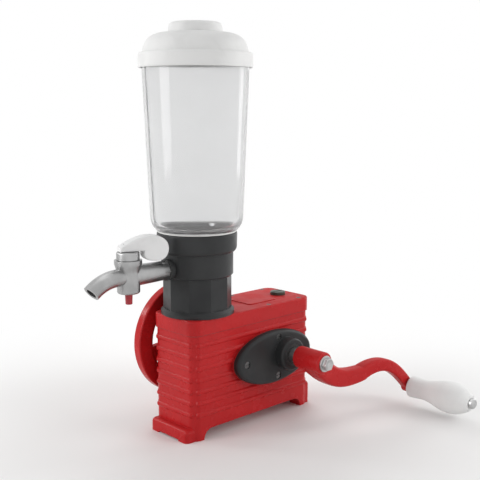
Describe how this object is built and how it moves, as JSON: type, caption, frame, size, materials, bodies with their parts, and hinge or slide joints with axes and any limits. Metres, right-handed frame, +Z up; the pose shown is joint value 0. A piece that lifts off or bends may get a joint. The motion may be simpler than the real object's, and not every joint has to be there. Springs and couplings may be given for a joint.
{
  "type": "manual mango juicer",
  "caption": "Hand-cranked juicer: ribbed red gearbox with side crank and flywheel, dark tower, clear jar with a domed lid over a spinning blade, and a lever tap.",
  "frame": {"origin": "on the table, midway between the four tapped foot holes", "axes": "+Z up, +X from the tap end of the gearbox to its crank end, crank on the -Y side, flywheel on the +Y side"},
  "size_m": [0.4149, 0.2876, 0.4659],
  "materials": {
    "red_paint": "enamel paint on cast iron, half gloss",
    "dark_paint": "charcoal paint on a casting, half matt",
    "steel": "turned steel",
    "screw_steel": "blackened steel, dulled by use",
    "gear_steel": "cut teeth, oiled",
    "bronze": "plain bearing bronze",
    "seal_rubber": "moulded black rubber",
    "fibre_gasket": "cut red fibre sheet",
    "white_gasket": "white food-grade rubber",
    "black_plastic": "moulded dark plastic",
    "clear_plastic": "clear moulded plastic",
    "white_plastic": "white moulded plastic",
    "lever_plastic": "pale grey moulded plastic",
    "tap_metal": "satin plated casting",
    "red_plastic": "red moulded plastic"
  },
  "bodies": {
    "case": {"gearbox_case": "red_paint", "top_cover": "red_paint", "cover_gasket": "fibre_gasket", "cover_screws": "screw_steel", "oil_plug": "black_plastic", "bearing_flange": "dark_paint", "flange_gasket": "fibre_gasket", "flange_screws": "screw_steel", "crank_bushes": "bronze", "crank_oil_seal": "seal_rubber", "countershaft_bushes": "bronze", "bore_plugs": "steel", "flywheel_bushes": "bronze", "flywheel_oil_seal": "seal_rubber", "spindle_bushes": "bronze", "spindle_oil_seal": "seal_rubber", "tower_base": "dark_paint", "tower_screws": "screw_steel", "locating_pins": "steel"},
    "crank": {"crank_shaft": "steel", "crank_gear": "gear_steel", "crank_arm": "red_paint", "crank_washer": "steel", "crank_nut": "steel", "handle_pin": "steel"},
    "grip": {"crank_grip": "white_plastic"},
    "idler": {"idler_shaft": "steel", "idler_pinion": "gear_steel", "idler_gear": "gear_steel"},
    "flywheel": {"flywheel_shaft": "steel", "flywheel_pinion": "gear_steel", "flywheel_gear": "gear_steel", "flywheel": "red_paint", "flywheel_nut": "steel"},
    "layshaft": {"layshaft": "steel", "layshaft_pinion": "gear_steel", "bevel_gear": "gear_steel"},
    "spindle": {"spindle": "steel", "bevel_pinion": "gear_steel", "drive_dog": "black_plastic"},
    "jar": {"juice_chamber": "dark_paint", "jar_collar": "dark_paint", "jar_gasket": "white_gasket", "jar": "clear_plastic", "blade_bush": "bronze", "blade_seal": "seal_rubber", "tap_body": "tap_metal", "tap_washer": "seal_rubber", "tap_cap": "tap_metal"},
    "blade": {"blade_shaft": "steel", "blade": "steel", "blade_nut": "steel", "driven_dog": "black_plastic"},
    "tap_cock": {"tap_plug": "tap_metal", "tap_lever": "lever_plastic", "tap_tip": "red_plastic"},
    "lid": {"lid": "white_plastic", "lid_seal": "white_gasket"},
    "lid_cap": {"lid_cap": "white_plastic"}
  },
  "joints": [
    {"name": "crank_spin", "type": "hinge", "parent": "case", "child": "crank", "pos_m": [0.0408, 0, 0.0805], "axis": [0, 1, 0], "continuous": true},
    {"name": "grip_spin", "type": "hinge", "parent": "crank", "child": "grip", "pos_m": [0.18671, 0, 0.02391], "axis": [0, 1, 0], "continuous": true},
    {"name": "idler_spin", "type": "hinge", "parent": "case", "child": "idler", "pos_m": [-0.00754, 0, 0.07422], "axis": [0, 1, 0], "continuous": true},
    {"name": "flywheel_spin", "type": "hinge", "parent": "case", "child": "flywheel", "pos_m": [-0.04125, 0, 0.098], "axis": [0, 1, 0], "continuous": true},
    {"name": "layshaft_spin", "type": "hinge", "parent": "case", "child": "layshaft", "pos_m": [-0.05825, 0, 0.06457], "axis": [0, 1, 0], "continuous": true},
    {"name": "spindle_spin", "type": "hinge", "parent": "case", "child": "spindle", "pos_m": [-0.05825, 0, 0.06457], "axis": [0, 0, 1], "continuous": true},
    {"name": "blade_spin", "type": "hinge", "parent": "jar", "child": "blade", "pos_m": [-0.05825, 0, 0.184], "axis": [0, 0, 1], "continuous": true},
    {"name": "jar_lift", "type": "slide", "parent": "case", "child": "jar", "axis": [0, 0, 1], "range_m": [0, 0.06]},
    {"name": "lid_lift", "type": "slide", "parent": "jar", "child": "lid", "axis": [0, 0, 1], "range_m": [0, 0.08]},
    {"name": "cap_lift", "type": "slide", "parent": "lid", "child": "lid_cap", "axis": [0, 0, 1], "range_m": [0, 0.05]},
    {"name": "tap_turn", "type": "hinge", "parent": "jar", "child": "tap_cock", "pos_m": [-0.15525, 0, 0.195], "axis": [0, 0, 1], "range_deg": [-90, 0]}
  ],
  "couplings": [
    {"joint": "idler_spin", "follows": "crank_spin", "ratio": -3.3333},
    {"joint": "flywheel_spin", "follows": "crank_spin", "ratio": 8.8889},
    {"joint": "layshaft_spin", "follows": "crank_spin", "ratio": -13.333},
    {"joint": "spindle_spin", "follows": "crank_spin", "ratio": 20},
    {"joint": "blade_spin", "follows": "crank_spin", "ratio": 20}
  ]
}
